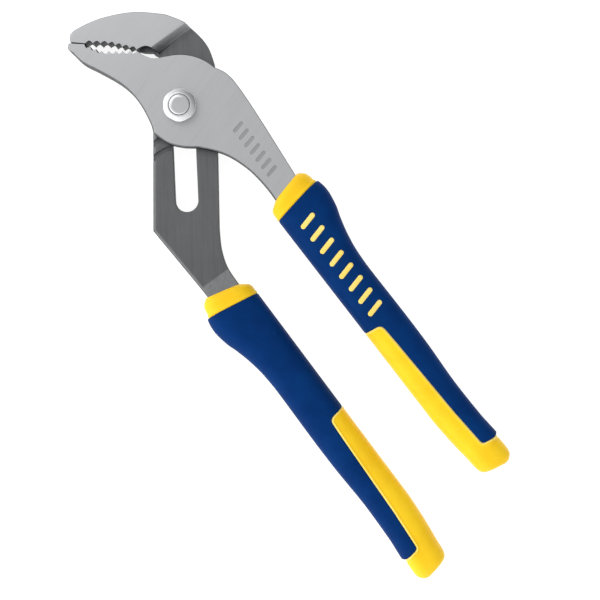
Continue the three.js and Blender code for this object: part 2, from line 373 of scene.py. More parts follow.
def arcBand(arc, clearance, shift=0.0):
    fromAngle, toAngle = arc
    half = forging["tongueWidth"] / 2 + clearance
    radius = forging["tongueRadius"]
    centre = (0, shift)
    band = Outline(Vector(centre) + turned(fromAngle, radius + half), forging["cutterRim"])
    band.arcTo(centre, radius + half, fromAngle, toAngle)
    band.lineTo(Vector(centre) + turned(toAngle, radius - half))
    band.arcTo(centre, radius - half, toAngle, fromAngle)
    return band


def newMaterial(name):
    material = bpy.data.materials.new(name)
    material.use_nodes = True
    tree = material.node_tree
    tree.nodes.clear()
    shader = tree.nodes.new("ShaderNodeBsdfPrincipled")
    output = tree.nodes.new("ShaderNodeOutputMaterial")
    tree.links.new(shader.outputs["BSDF"], output.inputs["Surface"])
    return material, tree, shader


def node(tree, kind, **values):
    made = tree.nodes.new(kind)
    for key, value in values.items():
        if key in made.inputs:
            made.inputs[key].default_value = value
        else:
            setattr(made, key, value)
    return made


def noiseAt(tree, scale, stretch=(1, 1, 1), detail=3.0, turn=0.0):
    # noise in the piece's own metres, stretched for a grain; scale is in features per metre
    place = node(tree, "ShaderNodeTexCoord")
    turnStep = node(tree, "ShaderNodeMapping", Rotation=(0, 0, math.radians(turn)))
    stretchStep = node(tree, "ShaderNodeMapping", Scale=stretch)
    noise = node(tree, "ShaderNodeTexNoise", Scale=scale, Detail=detail, Roughness=0.6)
    tree.links.new(place.outputs["Object"], turnStep.inputs["Vector"])
    tree.links.new(turnStep.outputs["Vector"], stretchStep.inputs["Vector"])
    tree.links.new(stretchStep.outputs["Vector"], noise.inputs["Vector"])
    return noise.outputs["Fac"]


def ramp(tree, source, stops):
    made = node(tree, "ShaderNodeValToRGB")
    tree.links.new(source, made.inputs["Fac"])
    elements = made.color_ramp.elements
    while len(elements) < len(stops):
        elements.new(0.5)
    for element, (position, colour) in zip(elements, stops):
        element.position = position
        element.color = (*colour, 1) if isinstance(colour, tuple) else (colour, colour, colour, 1)
    return made.outputs["Color"]


def mixColour(tree, share, first, second):
    made = node(tree, "ShaderNodeMix", data_type="RGBA")
    sockets = {"Factor": share, "A": first, "B": second}
    for name, value in sockets.items():
        kind = "VALUE" if name == "Factor" else "RGBA"
        socket = next(s for s in made.inputs if s.name == name and s.type == kind)
        if isinstance(value, bpy.types.NodeSocket):
            tree.links.new(value, socket)
        else:
            socket.default_value = value if kind == "VALUE" else (*value, 1)
    return next(s for s in made.outputs if s.type == "RGBA")


def mathNode(tree, operation, first, second=0.0):
    made = node(tree, "ShaderNodeMath", operation=operation)
    for socket, value in zip(made.inputs, (first, second)):
        if isinstance(value, bpy.types.NodeSocket):
            tree.links.new(value, socket)
        else:
            socket.default_value = value
    return made.outputs["Value"]


def edgeMask(tree, radius, sharpness):
    # near 1 along rounded edges, 0 on open faces: how far the rounded normal leaves the true one
    bevel = node(tree, "ShaderNodeBevel", samples=6, Radius=radius * mm)
    surface = node(tree, "ShaderNodeNewGeometry")
    product = node(tree, "ShaderNodeVectorMath", operation="DOT_PRODUCT")
    tree.links.new(bevel.outputs["Normal"], product.inputs[0])
    tree.links.new(surface.outputs["Normal"], product.inputs[1])
    away = mathNode(tree, "SUBTRACT", 1.0, product.outputs["Value"])
    strong = mathNode(tree, "MULTIPLY", away, sharpness)
    return mathNode(tree, "MINIMUM", strong, 1.0)


def bumps(tree, shader, layers, bevelRadius=0.0):
    # several bump layers, each (height source, distance in mm, strength)
    last = None
    if bevelRadius:
        last = node(tree, "ShaderNodeBevel", samples=6, Radius=bevelRadius * mm).outputs["Normal"]
    for source, distance, strength in layers:
        bump = node(tree, "ShaderNodeBump", Strength=strength, Distance=distance * mm)
        tree.links.new(source, bump.inputs["Height"])
        if last:
            tree.links.new(last, bump.inputs["Normal"])
        last = bump.outputs["Normal"]
    tree.links.new(last, shader.inputs["Normal"])


steelLooks = {
    # the darker edge tone of the ground and stamped steel is painted shade along their rounded rims
    "ground": {"light": (0.545, 0.555, 0.57), "dark": (0.5, 0.51, 0.525), "edge": (0.42, 0.43, 0.44),
               "roughness": (0.28, 0.36), "grainTurn": 35},
    "stamped": {"light": (0.4, 0.41, 0.42), "dark": (0.33, 0.34, 0.35), "edge": (0.3, 0.31, 0.32),
                "roughness": (0.36, 0.46), "grainTurn": 35},
    "forged": {"light": (0.17, 0.175, 0.18), "dark": (0.13, 0.135, 0.14), "edge": (0.26, 0.27, 0.28),
               "roughness": (0.34, 0.48)},
    # a near-black tone that the levers' side walls get by the way they face: painted shade
    "shadedWall": {"light": (0.055, 0.057, 0.06), "dark": (0.035, 0.037, 0.04), "edge": (0.12, 0.125, 0.13),
               "roughness": (0.45, 0.6)},
    # a lighter, rougher steel for the steep shoulder step: the lighter tone is painted light where the
    # shoulder lies in the hub's shade
    "litShoulder": {"light": (0.5, 0.51, 0.52), "dark": (0.42, 0.43, 0.44), "edge": (0.4, 0.41, 0.42),
                "roughness": (0.62, 0.75)},
    "plated": {"light": (0.66, 0.67, 0.685), "dark": (0.58, 0.59, 0.605), "edge": (0.72, 0.72, 0.73),
               "roughness": (0.12, 0.2)},
}


def roughnessFrom(tree, shader, look, patches):
    low, high = look["roughness"]
    tree.links.new(ramp(tree, patches, [(0.3, low), (0.7, high)]), shader.inputs["Roughness"])


def edgeTonedMetal(tree, shader, look, body, edgeWidth, patches):
    # bare metal whose edges, up to the given width in mm, take their own tone: darker on ground and stamped
    # steel, a painted shade along the rims, and lighter on the other steels
    edgeToned = mixColour(tree, edgeMask(tree, edgeWidth, 1.2), body, look["edge"])
    tree.links.new(edgeToned, shader.inputs["Base Color"])
    roughnessFrom(tree, shader, look, patches)
    shader.inputs["Metallic"].default_value = 1.0


def groundSteel(kind):
    look = steelLooks[kind]
    material, tree, shader = newMaterial(kind + " satin steel")
    clouds = noiseAt(tree, 55, detail=4)
    grain = noiseAt(tree, 2600, stretch=(1, 0.03, 1), detail=2, turn=look["grainTurn"])
    scratches = noiseAt(tree, 1300, stretch=(1, 0.015, 1), detail=2, turn=look["grainTurn"] + 4)
    body = mixColour(tree, clouds, look["dark"], look["light"])
    lined = mixColour(tree, ramp(tree, scratches, [(0.3, 0.94), (0.45, 1.0)]), (0, 0, 0), body)
    edgeTonedMetal(tree, shader, look, lined, 0.4, grain)
    bumps(tree, shader, [(grain, 0.01, 0.2), (scratches, 0.01, 0.15)], bevelRadius=0.12)
    return material


def forgedSteel(kind):
    look = steelLooks[kind]
    material, tree, shader = newMaterial(kind + " dark steel")
    clouds = noiseAt(tree, 70, detail=5)
    scale = noiseAt(tree, 900, detail=4)
    drawn = noiseAt(tree, 900, stretch=(1, 0.04, 1), detail=3)
    body = mixColour(tree, clouds, look["dark"], look["light"])
    streaked = mixColour(tree, ramp(tree, drawn, [(0.3, 0.88), (0.55, 1.0)]), (0, 0, 0), body)
    edgeTonedMetal(tree, shader, look, streaked, 0.45, scale)
    bumps(tree, shader, [(scale, 0.03, 0.3), (drawn, 0.02, 0.3)], bevelRadius=0.15)
    return material


def platedSteel():
    look = steelLooks["plated"]
    material, tree, shader = newMaterial("bright plated steel")
    clouds = noiseAt(tree, 260, detail=3)
    pits = noiseAt(tree, 2600, detail=2)
    body = mixColour(tree, clouds, look["dark"], look["light"])
    edgeTonedMetal(tree, shader, look, body, 0.25, clouds)
    bumps(tree, shader, [(pits, 0.01, 0.12)], bevelRadius=0.12)
    return material


rubberLooks = {
    "yellow": {"main": (0.97, 0.635, 0.008), "deep": (0.94, 0.565, 0.004), "edge": (1.0, 0.76, 0.16),
               "roughness": (0.42, 0.56), "gloss": 0.25},
    "blue": {"main": (0.0004, 0.032, 0.152), "deep": (0.0001, 0.024, 0.124), "edge": (0.008, 0.062, 0.23),
             "roughness": (0.5, 0.64), "gloss": 0.05},
    # the ribs' own cream colour, also used as a painted highlight along the inner colour's lip
    "ribAndLipHighlight": {"main": (0.98, 0.76, 0.2), "deep": (0.96, 0.68, 0.1), "edge": (1.0, 0.92, 0.6),
            "roughness": (0.4, 0.52), "gloss": 0.3},
}


def mouldedRubber(name):
    look = rubberLooks[name]
    material, tree, shader = newMaterial(name + " moulded rubber")
    clouds = noiseAt(tree, 90, detail=4)
    stipple = noiseAt(tree, 2400, detail=2)
    speckle = noiseAt(tree, 650, detail=5)
    body = mixColour(tree, ramp(tree, clouds, [(0.35, 0.0), (0.65, 1.0)]), look["deep"], look["main"])
    dusted = mixColour(tree, ramp(tree, speckle, [(0.62, 0.0), (0.75, 0.25)]), body, look["edge"])
    rubbed = mixColour(tree, mathNode(tree, "MULTIPLY", edgeMask(tree, 0.5, 1.5), 0.5), dusted, look["edge"])
    tree.links.new(rubbed, shader.inputs["Base Color"])
    roughnessFrom(tree, shader, look, stipple)
    shader.inputs["Specular IOR Level"].default_value = look["gloss"]
    bumps(tree, shader, [(stipple, 0.03, 0.3), (speckle, 0.05, 0.15)])
    return material


materials = {
    "ground": groundSteel("ground"),
    "stamped": groundSteel("stamped"),
    "forged": forgedSteel("forged"),
    "shadedWall": forgedSteel("shadedWall"),
    "litShoulder": forgedSteel("litShoulder"),
    "plated": platedSteel(),
    "yellow": mouldedRubber("yellow"),
    "blue": mouldedRubber("blue"),
    "ribAndLipHighlight": mouldedRubber("ribAndLipHighlight"),
}
print("materials ready")


def dressForging(lever, groundHeight, isShoulder=None):
    # The flat front face is ground bright and the marks sunk in it are duller. The walls get a near-black
    # tone, painted shade; a steep shoulder gets a lighter tone, painted light; and everything else is plain
    # forged.
    mesh = lever.data
    mesh.materials.clear()
    kinds = ("forged", "ground", "stamped", "shadedWall", "litShoulder")
    for kind in kinds:
        mesh.materials.append(materials[kind])
    for face in mesh.polygons:
        below = groundHeight - face.center.z / mm
        kind = "forged"
        isFlat = face.normal.z > finishLimits["flat"]
        if isFlat and below < finishLimits["ground"]:
            kind = "ground"
        elif isFlat and below < finishLimits["stamped"]:
            kind = "stamped"
        # the steep part of the shoulder gets the lighter tone, painted light
        elif isShoulder and isShoulder(face):
            kind = "litShoulder" if face.normal.z < finishLimits["gentle"] else "forged"
        # faces that turn sideways get the near-black painted shade
        elif abs(face.normal.z) < finishLimits["wall"]:
            kind = "shadedWall"
        face.material_index = kinds.index(kind)


# rear lever: fixed jaw, slotted neck and tang
rearShape = {
    "shoulderPoint": (-8.9, 24.3), "shoulderAngle": -56, "neckRim": 1.5, "slotRim": 0.35,
    "slotX": 0.6, "slotTop": 0.6, "slotBottom": -36.5, "slotRadius": 4.5,
    "settings": 7, "pitch": 5.4,
    # the ledge left in the back half of the throat behind the teeth
    "ledge": [(-15.8, 23.1), (-13.6, 22.5), (-11.6, 22.3), (-10.3, 22.3), (-9.2, 21.2), (-6, 20), (-6, 27),
              (-17, 27)],
    "ledgeInset": {"front": 0.1, "back": 0.05},
    # from the jaw's ground face down to the neck, as (distance past the edge, height)
    "shoulder": [(-0.6, 13.75), (0, 13.75), (0.2, 13.6), (1.9, 9.6), (2.2, 9.1), (2.6, 8.75), (3.1, 8.52),
                 (3.8, 8.4), (4.6, 8.4)],
    "shoulderLength": 4,
    # above this line the shoulder sets the front height, below it the handle's side profile does
    "profileStart": -20,
    # side profiles at the root of the handle, as (down the handle, height)
    "frontFace": [(-16, forging["rearFront"]), (-9, forging["tangFront"])],
    "backFace": [(-14, forging["rearBack"]), (-8, forging["tangBack"])],
}


def pastShoulder(x, y):
    along = turned(rearShape["shoulderAngle"])
    px, py = rearShape["shoulderPoint"]
    return (x - px) * along.x + (y - py) * along.y


def rearTop(x, y):
    if y > rearShape["profileStart"]:
        return profileHeight(rearShape["shoulder"], pastShoulder(x, y))
    return profileHeight(rearShape["frontFace"], downHandle(forging["rearHandle"], x, y))


def onShoulder(face):
    # true on the sloping step between the fixed jaw's face and the neck
    past = pastShoulder(face.center.x / mm, face.center.y / mm)
    beside = face.center.y > 0 and 0 < past < rearShape["shoulderLength"]
    return beside and face.normal.z > finishLimits["upward"]


def rearOutline():
    handle = forging["rearHandle"]
    depth = forging["toothDepth"]
    shape = Outline((-41.7, 26.75), forging["faceRim"])
    shape.curveThrough((-41.7, 29.6), (-38.4, 32.2), (-29.2, 35.7), (-16.7, 37.5), (-4.6, 36.2))
    shape.curveThrough((2.8, 32.9), (8.2, 28.1), (11.8, 23), (13.8, 16.7))
    shape.lineTo((13.6, -18.7), (12.9, -48.2))
    shape.curveThrough((13.4, -56), (15.4, -63.3), onHandle(handle, -9, 3.8))
    for down, out in reversed(forging["tang"]):
        shape.lineTo(onHandle(handle, down, out), spacing=6)
    shape.lineTo(onHandle(handle, -12, 16.7), spacing=4)
    shape.rim = rearShape["neckRim"]
    shape.lineTo((-13.2, -47.9), (-10.6, 13))
    shape.rim = forging["faceRim"]
    shape.curveThrough((-8.6, 18), (-7.6, 21), (-9.5, 23))
    shape.rim = forging["toothRim"]
    shape.curveThrough((-12.2, 24.1), (-14.6, 23.6), (-16.1, 22.6))
    shape.teethTo((-27, 25.4), 4, depth)
    shape.teethTo((-35.9, 26.05), 3, depth)
    shape.lineTo((-41.7, 26.75))
    return shape


def slotOutline():
    centre = (rearShape["slotX"], rearShape["slotTop"])
    foot = (rearShape["slotX"], rearShape["slotBottom"])
    radius = rearShape["slotRadius"]
    shape = Outline(Vector(centre) + Vector((radius, 0)), rearShape["slotRim"])
    shape.arcTo(centre, radius, 0, 180, spacing=0.6)
    shape.lineTo(Vector(foot) - Vector((radius, 0)))
    shape.arcTo(foot, radius, 180, 360, spacing=0.6)
    shape.lineTo(Vector(centre) + Vector((radius, 0)))
    return shape


def throatLedge():
    corners = rearShape["ledge"]
    shape = Outline(corners[0], forging["toothRim"])
    shape.lineTo(*corners[1:], corners[0], spacing=50)
    front = forging["rearFront"] - rearShape["ledgeInset"]["front"]
    back = forging["rearBack"] + rearShape["ledgeInset"]["back"]
    return plate("ledge", shape, [], level(front), level(back))


def makeRearLever():
    shoulder = turned(rearShape["shoulderAngle"])
    across = Vector((-shoulder.y, shoulder.x))
    edge = Vector(rearShape["shoulderPoint"])
    breaks = [(edge + shoulder * past, across) for past, _ in rearShape["shoulder"]]
    breaks += breakLines(forging["rearHandle"], rearShape["frontFace"] + rearShape["backFace"])
    back = alongHandle(forging["rearHandle"], rearShape["backFace"])
    lever = plate("rear_lever_forging", rearOutline(), [slotOutline()], rearTop, back, breaks)
    booleanWith(lever, throatLedge(), "UNION")
    floor = forging["rearFront"] - forging["tongueDepth"] - forging["tongueClearance"]
    for setting in range(rearShape["settings"]):
        band = arcBand(forging["grooveArc"], forging["tongueClearance"], -setting * rearShape["pitch"])
        groove = plate("groove", band, [], level(forging["frontBack"] + 2), level(floor))
        booleanWith(lever, groove, "DIFFERENCE")
    dressForging(lever, forging["frontFront"], onShoulder)
    smoothShading(lever, 38)
    finishPiece(lever, "rear_lever", "gunmetal_steel", "rear_lever")


# front lever: moving jaw, hub, shank and tang
frontShape = {
    "thickJawRadius": 19.3, "thickJawSide": -13.5, "boltHole": 4.2, "holeRim": 0.25,
    # side profiles, as (down the handle, height)
    "frontFace": [(-6, forging["frontFront"]), (-1, forging["tangFront"])],
    "backFace": [(-14, forging["rearBack"]), (-12, forging["tangBack"])],
    # generic mark: a row of plain bars sunk across the shank
    "markStart": -40.2, "markBars": 7, "markPitch": 3.6, "markWidth": 1.5, "markLength": 5.4,
    "markOut": 10.0, "markDepth": 0.2, "markSlant": 12,
}


def frontOutline():
    handle = forging["frontHandle"]
    depth = forging["toothDepth"]
    hump = forging["humpRadius"]
    shape = Outline((-42.4, 26.4), forging["toothRim"])
    shape.lineTo((-36.2, 25.8))
    shape.teethTo((-29.6, 22.8), 3, depth)
    shape.teethTo((-16, 22.3), 5, depth)
    shape.curveThrough((-13.5, 20.5), (-9.7, 19.1), turned(104, hump))
    shape.rim = forging["faceRim"]
    shape.arcTo((0, 0), hump, 104, 46)
    shape.curveThrough((18.7, 11.9), (23.2, 6.4), (31, -6.4), onHandle(handle, -12, 16.2))
    for down, out in forging["tang"]:
        shape.lineTo(onHandle(handle, down, out), spacing=6)
    shape.rim = forging["lowerRim"]
    shape.lineTo(onHandle(handle, -9, 4.1), spacing=4)
    shape.curveThrough((31.8, -32.7), (26.2, -26.4), (19.7, -21.3), (13.8, -18.4), (6.4, -16.4))
    shape.curveThrough((0.5, -16), (-5.4, -14.2), (-11, -10))
    shape.curveThrough((-11.9, -6.2), (-15.2, 0.8), (-19.3, 6.4), (-24.2, 10.7), (-32.3, 15.7))
    shape.curveThrough((-37.5, 18.7), (-41.6, 22.9))
    shape.rim = forging["faceRim"]
    shape.curveThrough((-42.9, 24.4), (-42.4, 26.4))
    return shape


def boltHoleOutline():
    radius = frontShape["boltHole"]
    shape = Outline((radius, 0), frontShape["holeRim"])
    shape.arcTo((0, 0), radius, 0, 360, spacing=0.5)
    return shape


def backReliefOutline():
    # everything behind the hub and shank, up to the thick jaw
    radius = frontShape["thickJawRadius"]
    side = frontShape["thickJawSide"]
    corner = math.degrees(math.acos(side / radius))
    handle = forging["frontHandle"]
    shape = Outline((side, 45), forging["cutterRim"])
    shape.lineTo(turned(corner, radius), spacing=50)
    shape.arcTo((0, 0), radius, corner, 180)
    shape.lineTo((-radius, -30), onHandle(handle, -10.5, -20), onHandle(handle, -10.5, 40), spacing=200)
    shape.lineTo((side, 45), spacing=200)
    return shape


def reliefProfile():
    return [(-22, forging["frontBack"]), (-12, forging["tangBack"]), (-10.5, forging["tangBack"] - 0.6)]


def markBar(index):
    handle = forging["frontHandle"]
    down = frontShape["markStart"] + index * frontShape["markPitch"]
    half = frontShape["markLength"] / 2
    endRadius = frontShape["markWidth"] / 2
    angle = handle["angle"] + 90 + frontShape["markSlant"]
    middle = onHandle(handle, down, frontShape["markOut"])
    upper = middle + turned(angle, half - endRadius)
    lower = middle - turned(angle, half - endRadius)
    shape = Outline(upper + turned(angle - 90, endRadius), forging["cutterRim"])
    shape.arcTo(upper, endRadius, angle - 90, angle + 90, spacing=0.25)
    shape.lineTo(lower + turned(angle + 90, endRadius))
    shape.arcTo(lower, endRadius, angle + 90, angle + 270, spacing=0.25)
    return shape


def makeFrontLever():
    handle = forging["frontHandle"]
    breaks = breakLines(handle, frontShape["frontFace"] + frontShape["backFace"][1:])
    front = alongHandle(handle, frontShape["frontFace"])
    back = alongHandle(handle, frontShape["backFace"])
    lever = plate("front_lever_forging", frontOutline(), [boltHoleOutline()], front, back, breaks)
    reliefBreaks = breakLines(handle, reliefProfile()[:2])
    reliefTop = alongHandle(handle, reliefProfile())
    relief = plate("relief", backReliefOutline(), [], reliefTop, level(0.0), reliefBreaks)
    booleanWith(lever, relief, "DIFFERENCE")
    tongueTip = forging["frontBack"] - forging["tongueDepth"]
    band = arcBand(forging["tongueArc"], 0)
    tongue = plate("tongue", band, [], level(forging["frontBack"] + 0.8), level(tongueTip))
    booleanWith(lever, tongue, "UNION")
    face = forging["frontFront"]
    for index in range(frontShape["markBars"]):
        bar = plate("mark", markBar(index), [], level(face + 1), level(face - frontShape["markDepth"]))
        booleanWith(lever, bar, "DIFFERENCE")
    dressForging(lever, face)
    smoothShading(lever, 38)
    finishPiece(lever, "front_lever", "satin_steel", "front_lever")


makeRearLever()
print("rear lever ready")
makeFrontLever()
print("front lever ready")


# pivot: bolt and nut
pivotShape = {
    "radius": 3.97, "neckWidth": 7.2, "headRadius": 7.2, "headTop": 3.05, "neckTop": 8.5, "end": 20.3,
    "acrossFlats": 12.7, "nutBack": 13.95, "nutTop": 19.55, "bore": 4.03, "sides": 144,
    "coneFoot": 1.75, "coneCurve": 1.1, "coneSteps": 6, "topFlat": 4.45,
    "cornerRound": 0.8, "cornerFollow": 0.15,
    # the nut's edges: (in from the side, up from the back), (in from the side, down from the cone) and
    # (out from the bore, down from the top)
    "backFlat": 0.5, "backEdge": [(0.35, 0.02), (0.08, 0.18), (0, 0.45)],
    "coneEdge": [(0, 0.22), (0.06, 0.06)],
    "boreEdge": [(0.3, 0), (0.1, 0.1), (0, 0.5)],
    # the staked end, as (in from the shank's side, down from the end)
    "stake": [(0, 1.0), (0.03, 0.5), (0.12, 0.34), (0.35, 0.23), (0.6, 0.14), (0.85, 0.06), (1.1, 0.01),
              (1.35, 0), (3.6, 0.01)],
}


def ringQuads(rows, around, start=0, closed=False):
    # quads between rings of points that follow each other
    quads = []
    for row in range(rows if closed else rows - 1):
        low = start + row * around
        high = start + (row + 1) % rows * around
        for side in range(around):
            following = (side + 1) % around
            quads.append((low + side, low + following, high + following, high + side))
    return quads


def lathe(name, profile, limit):
    # turns (radius, height) pairs about the pivot; limit(angle, height) may pull a point in to a flat
    sides = pivotShape["sides"]
    verts = []
    for radius, height in profile:
        for side in range(sides):
            angle = 2 * math.pi * side / sides
            reach = min(radius, limit(angle, height))
            verts.append((reach * math.cos(angle), reach * math.sin(angle), height))
    faces = ringQuads(len(profile), sides)
    faces.append(tuple(range(sides))[::-1])
    faces.append(tuple(range((len(profile) - 1) * sides, len(profile) * sides)))
    return meshObject(name, verts, faces)


def boltFlat(angle, height):
    # the neck between head and front lever has two flats that keep the bolt from turning
    if height <= pivotShape["headTop"] or height >= pivotShape["neckTop"]:
        return math.inf
    return pivotShape["neckWidth"] / 2 / max(abs(math.cos(angle)), 1e-3)


def makeBolt():
    s = pivotShape
    radius = s["radius"]
    head = s["headRadius"]
    top = s["end"]
    profile = [
        (0.4, 0.25), (3.4, 0.25), (3.7, 0),
        (head - 1.0, 0), (head - 0.35, 0.3), (head - 0.08, 0.75), (head, 1.1),
        (head, s["headTop"] - 0.3), (head - 0.3, s["headTop"]), (radius + 0.01, s["headTop"]),
        (radius, s["headTop"] + 0.05), (radius, s["neckTop"] - 0.01), (radius, s["neckTop"]),
    ]
    profile += [(radius - inward, top - drop) for inward, drop in s["stake"]]
    bolt = lathe("pivot_bolt_body", profile, boltFlat)
    bolt.data.materials.append(materials["plated"])
    smoothShading(bolt, 45)
    finishPiece(bolt, "pivot", "bright_steel", "pivot_bolt")


def hexReach(angle):
    # distance to the hexagon's side, with the corners cut back; two of them lie on the slot's line
    flat = pivotShape["acrossFlats"] / 2
    turn = (math.degrees(angle) + 30) % 60 - 30
    reach = flat / math.cos(math.radians(turn))
    corner = flat / math.cos(math.radians(30)) - pivotShape["cornerRound"]
    return corner + pivotShape["cornerFollow"] * (reach - corner) if reach > corner else reach


def coneHeight(radius):
    s = pivotShape
    cornerRadius = s["acrossFlats"] / math.sqrt(3)
    share = (cornerRadius - radius) / (cornerRadius - s["topFlat"])
    return s["nutTop"] - s["coneFoot"] * (1 - share) ** s["coneCurve"]


def nutSection(reach):
    # the nut cut at one angle, from the bore's back edge out and over to its front edge, as (radius, height)
    s = pivotShape
    bore, back, top = s["bore"], s["nutBack"], s["nutTop"]
    section = [(bore, back), (s["acrossFlats"] / 2 - s["backFlat"], back)]
    section += [(reach - inward, back + up) for inward, up in s["backEdge"]]
    section += [(reach - inward, coneHeight(reach) - down) for inward, down in s["coneEdge"]]
    for step in range(1, s["coneSteps"]):
        share = step / s["coneSteps"]
        radius = reach + (s["topFlat"] - reach) * share
        section.append((radius, coneHeight(radius)))
    section.append((s["topFlat"], top))
    section += [(bore + outward, top - down) for outward, down in s["boreEdge"]]
    return section


def makeNut():
    sides = pivotShape["sides"]
    angles = [2 * math.pi * side / sides for side in range(sides)]
    rings = list(zip(*[nutSection(hexReach(angle)) for angle in angles]))
    verts = []
    for ring in rings:
        for angle, (radius, height) in zip(angles, ring):
            verts.append((radius * math.cos(angle), radius * math.sin(angle), height))
    nut = meshObject("pivot_nut_body", verts, ringQuads(len(rings), sides, closed=True))
    nut.data.materials.append(materials["plated"])
    smoothShading(nut, 30)
    finishPiece(nut, "pivot", "bright_steel", "pivot_nut")


makeBolt()
makeNut()
print("pivot ready")


# two-colour grips
gripShape = {
    "lean": 0.24, "squareness": 0.7, "middle": 8.5, "around": 112, "spacing": 0.8, "wall": 1.4,
    # each pair is (leaning distance down the handle, value)
    "inner": [(-7.7, 3.6), (-7.2, 2.6), (-6, 0.4), (-4.5, 0), (0, 0), (64, 0.1), (96, 0.1), (106, 0.6),
              (112, 1.1), (118, 1.8), (123.5, 2.3), (125.8, 3.2), (127.4, 5.3), (129.6, 10), (130.6, 12.2)],
    "outer": [(-7.7, 17.6), (-5.2, 19.9), (-3.1, 20.6), (-0.7, 20.9), (0.4, 22), (5.6, 22.8), (12, 21.9),
              (17, 20.2), (23.5, 18.5), (30, 17.5), (38, 17.1), (64, 17.3), (74, 17.2), (96, 16.4),
              (111, 16.7), (116, 17.1), (120.2, 17.4), (121, 16.1), (122.2, 16.65), (127, 16.9),
              (128.4, 16.8), (129.6, 16.3), (130.6, 15)],
    "half": [(-7.7, 7), (-6.6, 8.1), (-4.5, 8.5), (23.5, 8.5), (64, 7.9), (96, 7.8),
             (117, 8.5), (124, 8.4), (128, 7.4), (129.8, 5.8), (130.6, 4.2)],
    # border of the outer colour, as (down the handle, out, corner radius)
    "border": [(-0.2, -8, 0), (-7, 32, 0), (119.6, 32, 0), (115.4, 9.9, 1.6), (99, 8.8, 20), (64.5, 7.5, 20),
               (54.9, 7.0, 2.8), (53, -8, 0)],
    # the pale band by the border, a painted highlight along the lip, has its own width from the border and
    # its own start down the handle
    "seam": 0.3, "dipWidth": 0.55, "lip": 0.22, "lipWidth": 1.3, "lipHighlightWidth": 0.6, "lipHighlightFrom": 20,
    # distances from the border at which the skin is cut finer
    "seamLevels": (-0.6, -0.35, -0.15, 0.0, 0.15, 0.35, 0.65, 1.0, 1.35),
    # rings of the skin: inside the collar's mouth as (down from the mouth, size), then the collar's lip, the
    # even middle between two margins, the butt as distances before the end, and the sizes that close it
    "mouthRings": ((6, 0.5), (2.5, 0.56), (0.9, 0.72), (0.15, 0.88)),
    "lipSteps": (0.0, 0.12, 0.35, 0.7, 1.1, 1.6, 2.2, 2.8), "middleMargins": (3.4, 3.5),
    "buttSteps": (3.0, 2.5, 2.0, 1.5, 1.1, 0.75, 0.45, 0.2, 0.05), "endSizes": (0.75, 0.45, 0.18),
    # keeps the skin just above the plane that the tool lies on
    "lowest": 0.01,
}


def easedTable(table, at):
    # a smooth curve through the table's pairs that never swings past them
    xs = np.array([pair[0] for pair in table], float)
    ys = np.array([pair[1] for pair in table], float)
    spans = np.diff(xs)
    slopes = np.diff(ys) / spans
    ends = np.zeros(len(xs))
    ends[0], ends[-1] = slopes[0], slopes[-1]
    for index in range(1, len(xs) - 1):
        before, after = slopes[index - 1], slopes[index]
        if before * after > 0:
            first = 2 * spans[index] + spans[index - 1]
            second = spans[index] + 2 * spans[index - 1]
            ends[index] = (first + second) / (first / before + second / after)
    at = np.clip(at, xs[0], xs[-1])
    spot = np.clip(np.searchsorted(xs, at) - 1, 0, len(spans) - 1)
    share = (at - xs[spot]) / spans[spot]
    rise = 2 * share ** 3 - 3 * share ** 2
    return (
        ys[spot] * (1 + rise) - ys[spot + 1] * rise
        + spans[spot] * ends[spot] * (share ** 3 - 2 * share ** 2 + share)
        + spans[spot] * ends[spot + 1] * (share ** 3 - share ** 2)
    )


def gripSizes(place):
    return [easedTable(gripShape[name], place) for name in ("inner", "outer", "half")]


def gripPoint(place, angle, scale=1.0):
    # one point of the skin, as (down the handle, out, height)
    inner, outer, half = gripSizes(place)
    power = gripShape["squareness"]
    across = np.sign(np.cos(angle)) * np.abs(np.cos(angle)) ** power
    upward = np.sign(np.sin(angle)) * np.abs(np.sin(angle)) ** power
    out = (inner + outer) / 2 + (outer - inner) / 2 * across * scale
    height = gripShape["middle"] + half * upward * scale
    return np.stack([place - gripShape["lean"] * out, out, height], axis=-1)


def gripTop(down, out):
    # height of the skin's front side above a point of the handle
    inner, outer, half = gripSizes(down + gripShape["lean"] * out)
    across = np.clip(np.abs((out - (inner + outer) / 2) / ((outer - inner) / 2)), 0, 1)
    upward = np.sqrt(1 - across ** (2 / gripShape["squareness"])) ** gripShape["squareness"]
    return gripShape["middle"] + half * upward


def gripSkin():
    # the whole handle as one closed skin, before it is divided into its two colours
    around = gripShape["around"]
    first, last = gripShape["half"][0][0], gripShape["half"][-1][0]
    lipPlaces = first + np.array(gripShape["lipSteps"])
    start = first + gripShape["middleMargins"][0]
    stop = last - gripShape["middleMargins"][1]
    middlePlaces = np.linspace(start, stop, round((stop - start) / gripShape["spacing"]))
    buttPlaces = last - np.array(gripShape["buttSteps"])
    angles = 2 * np.pi * (np.arange(around) + 0.5) / around
    rings = []
    for depth, scale in gripShape["mouthRings"]:
        rings.append(gripPoint(np.full(around, first + depth), angles, scale))
    for place in (*lipPlaces, *middlePlaces, *buttPlaces):
        rings.append(gripPoint(np.full(around, place), angles))
    for scale in gripShape["endSizes"]:
        rings.append(gripPoint(np.full(around, last), angles, scale))
    points = np.concatenate(rings)
    faces = []
    for row in range(len(rings) - 1):
        for side in range(around):
            following = (side + 1) % around
            a, b = row * around + side, row * around + following
            c, d = a + around, b + around
            faces.extend([(a, b, c), (b, d, c)])
    for row, flip in ((0, False), (len(rings) - 1, True)):
        centre = len(points)
        points = np.vstack([points, rings[row].mean(axis=0)])
        for side in range(around):
            a, b = row * around + side, row * around + (side + 1) % around
            faces.append((centre, a, b) if flip else (centre, b, a))
    return points, np.array(faces)


